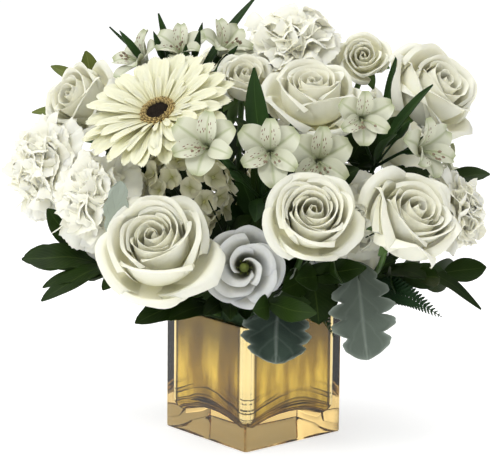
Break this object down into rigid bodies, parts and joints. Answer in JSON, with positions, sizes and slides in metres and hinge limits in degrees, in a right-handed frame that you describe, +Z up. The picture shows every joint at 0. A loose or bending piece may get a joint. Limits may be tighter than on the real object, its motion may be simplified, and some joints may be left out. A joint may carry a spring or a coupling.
{
  "type": "floral table centerpiece",
  "caption": "Low all-round arrangement of white and cream flowers with green and silver foliage in a square clear glass vase with a gold inside.",
  "frame": {"origin": "centre of the vase's flat base, on the table", "axes": "+Z up, -Y the arrangement's front; the square vase stands corner first, turned 40.3 degrees about Z"},
  "size_m": [0.3868, 0.3156, 0.3506],
  "materials": {
    "clear_glass": "gloss",
    "gold_mirror": "polished",
    "wet_foam": "matte",
    "rose_petal": "satin",
    "carnation_petal": "matte",
    "gerbera_petal": "satin",
    "gerbera_disc": "matte",
    "lisianthus_petal": "satin",
    "hydrangea_petal": "matte",
    "alstroemeria_petal": "satin",
    "green_stem": "satin",
    "lily_foliage": "satin",
    "glossy_leaf": "gloss",
    "fern_leaf": "satin",
    "olive_leaf": "satin",
    "silver_leaf": "matte"
  },
  "bodies": {
    "root": {"alstroemeria_back": "alstroemeria_petal", "alstroemeria_centre": "alstroemeria_petal", "alstroemeria_far_right": "alstroemeria_petal", "alstroemeria_left": "alstroemeria_petal", "alstroemeria_middle": "alstroemeria_petal", "alstroemeria_right": "alstroemeria_petal", "alstroemeria_side": "alstroemeria_petal", "alstroemeria_stem_back": "lily_foliage", "alstroemeria_stem_middle": "lily_foliage", "alstroemeria_stem_right": "lily_foliage", "alstroemeria_stem_top_left": "lily_foliage", "alstroemeria_top_left": "alstroemeria_petal", "alstroemeria_top_middle": "alstroemeria_petal", "alstroemeria_top_right": "alstroemeria_petal", "carnation_back_left": "carnation_petal", "carnation_back_top": "carnation_petal", "carnation_centre": "carnation_petal", "carnation_far_left": "carnation_petal", "carnation_far_right": "carnation_petal", "carnation_left": "carnation_petal", "carnation_top": "carnation_petal", "dusty_miller_back": "silver_leaf", "dusty_miller_front": "silver_leaf", "dusty_miller_left": "silver_leaf", "fern_fronds": "fern_leaf", "foam": "wet_foam", "gerbera_disc": "gerbera_disc", "gerbera_rays": "gerbera_petal", "gold_lining": "gold_mirror", "hydrangea_back": "hydrangea_petal", "hydrangea_front": "hydrangea_petal", "leafy_stem_back_left": "glossy_leaf", "leafy_stem_back_right": "glossy_leaf", "leafy_stem_front": "glossy_leaf", "leafy_stem_left": "glossy_leaf", "leafy_stem_middle": "glossy_leaf", "leafy_stem_right": "glossy_leaf", "lisianthus_back": "lisianthus_petal", "lisianthus_front": "lisianthus_petal", "olive_leaves": "olive_leaf", "rose_back": "rose_petal", "rose_back_left": "rose_petal", "rose_back_right": "rose_petal", "rose_behind_gerbera": "rose_petal", "rose_centre": "rose_petal", "rose_far_left": "rose_petal", "rose_lower_left": "rose_petal", "rose_right": "rose_petal", "rose_top": "rose_petal", "rose_upper_right": "rose_petal", "spray_rose": "rose_petal", "stems_back_left": "green_stem", "stems_back_right": "green_stem", "stems_front_left": "green_stem", "stems_front_right": "green_stem", "stems_gerbera": "green_stem", "stems_left": "green_stem", "stems_right": "green_stem", "stems_top": "green_stem", "vase": "clear_glass"}
  },
  "joints": []
}
